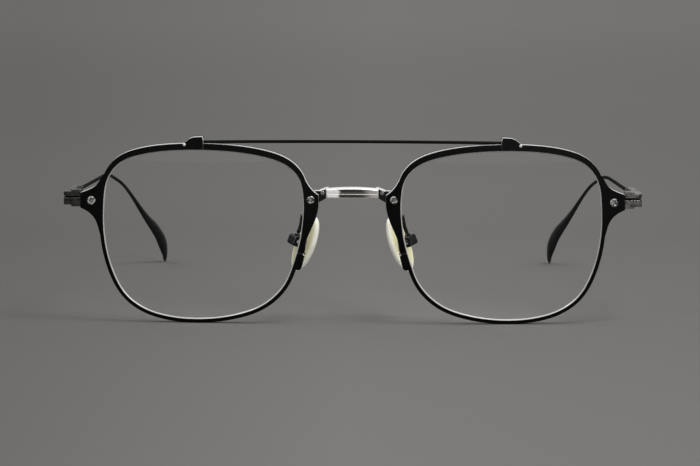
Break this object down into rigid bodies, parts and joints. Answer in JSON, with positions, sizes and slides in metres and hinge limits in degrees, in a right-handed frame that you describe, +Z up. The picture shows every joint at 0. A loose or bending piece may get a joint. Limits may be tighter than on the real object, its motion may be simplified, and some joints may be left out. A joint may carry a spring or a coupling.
{
  "type": "double bridge glasses",
  "caption": "Folding metal glasses with flat-faced rims, clear lenses, a bright nose bridge under a thin top bar, rocking nose pads and slim hinged temples.",
  "frame": {"origin": "bottom centre of the bounding box, on the table under the open glasses", "axes": "+X to the wearer's left, +Y back from the front towards the wearer, +Z up"},
  "size_m": [0.1434, 0.1406, 0.0466],
  "materials": {
    "rim_black": "satin",
    "lens": "polished, clear",
    "silver": "polished",
    "pewter": "antique, rubbed",
    "dark_steel": "dark, polished",
    "screw": "polished",
    "brass": "plain",
    "pad_ivory": "translucent",
    "tip_black": "satin"
  },
  "bodies": {
    "front": {"bridge": "silver", "top_bar": "rim_black", "rim_left": "rim_black", "rim_right": "rim_black", "lens_left": "lens", "lens_right": "lens", "end_piece_left": "pewter", "end_piece_right": "pewter", "end_piece_screw_left": "screw", "end_piece_screw_right": "screw", "bridge_screw_left": "screw", "bridge_screw_right": "screw", "bridge_rivet_left": "dark_steel", "bridge_rivet_right": "dark_steel", "rim_lock_screw_left": "screw", "rim_lock_screw_right": "screw", "hinge_screw_left": "screw", "hinge_screw_right": "screw", "top_bar_claw_left": "rim_black", "top_bar_claw_right": "rim_black", "pad_arm_left": "dark_steel", "pad_arm_right": "dark_steel", "pad_box_left": "dark_steel", "pad_box_right": "dark_steel", "pad_screw_left": "screw", "pad_screw_right": "screw"},
    "temple_body_left": {"temple_left": "pewter", "temple_tip_left": "tip_black"},
    "nose_pad_body_left": {"nose_pad_left": "pad_ivory", "pad_core_left": "brass"},
    "temple_body_right": {"temple_right": "pewter", "temple_tip_right": "tip_black"},
    "nose_pad_body_right": {"nose_pad_right": "pad_ivory", "pad_core_right": "brass"}
  },
  "joints": [
    {"name": "temple_left_fold", "type": "hinge", "parent": "front", "child": "temple_body_left", "pos_m": [0.06935, -0.05813, 0.0308], "axis": [0, 0, 1], "range_deg": [0, 86]},
    {"name": "temple_right_fold", "type": "hinge", "parent": "front", "child": "temple_body_right", "pos_m": [-0.06935, -0.05813, 0.0308], "axis": [0, 0, -1], "range_deg": [0, 78]},
    {"name": "nose_pad_left_rock", "type": "hinge", "parent": "front", "child": "nose_pad_body_left", "pos_m": [0.01431, -0.05943, 0.02016], "axis": [-0.5992, -0.7669, -0.23], "range_deg": [-8, 8]},
    {"name": "nose_pad_right_rock", "type": "hinge", "parent": "front", "child": "nose_pad_body_right", "pos_m": [-0.01431, -0.05943, 0.02016], "axis": [0.5992, -0.7669, -0.23], "range_deg": [-8, 8]}
  ]
}
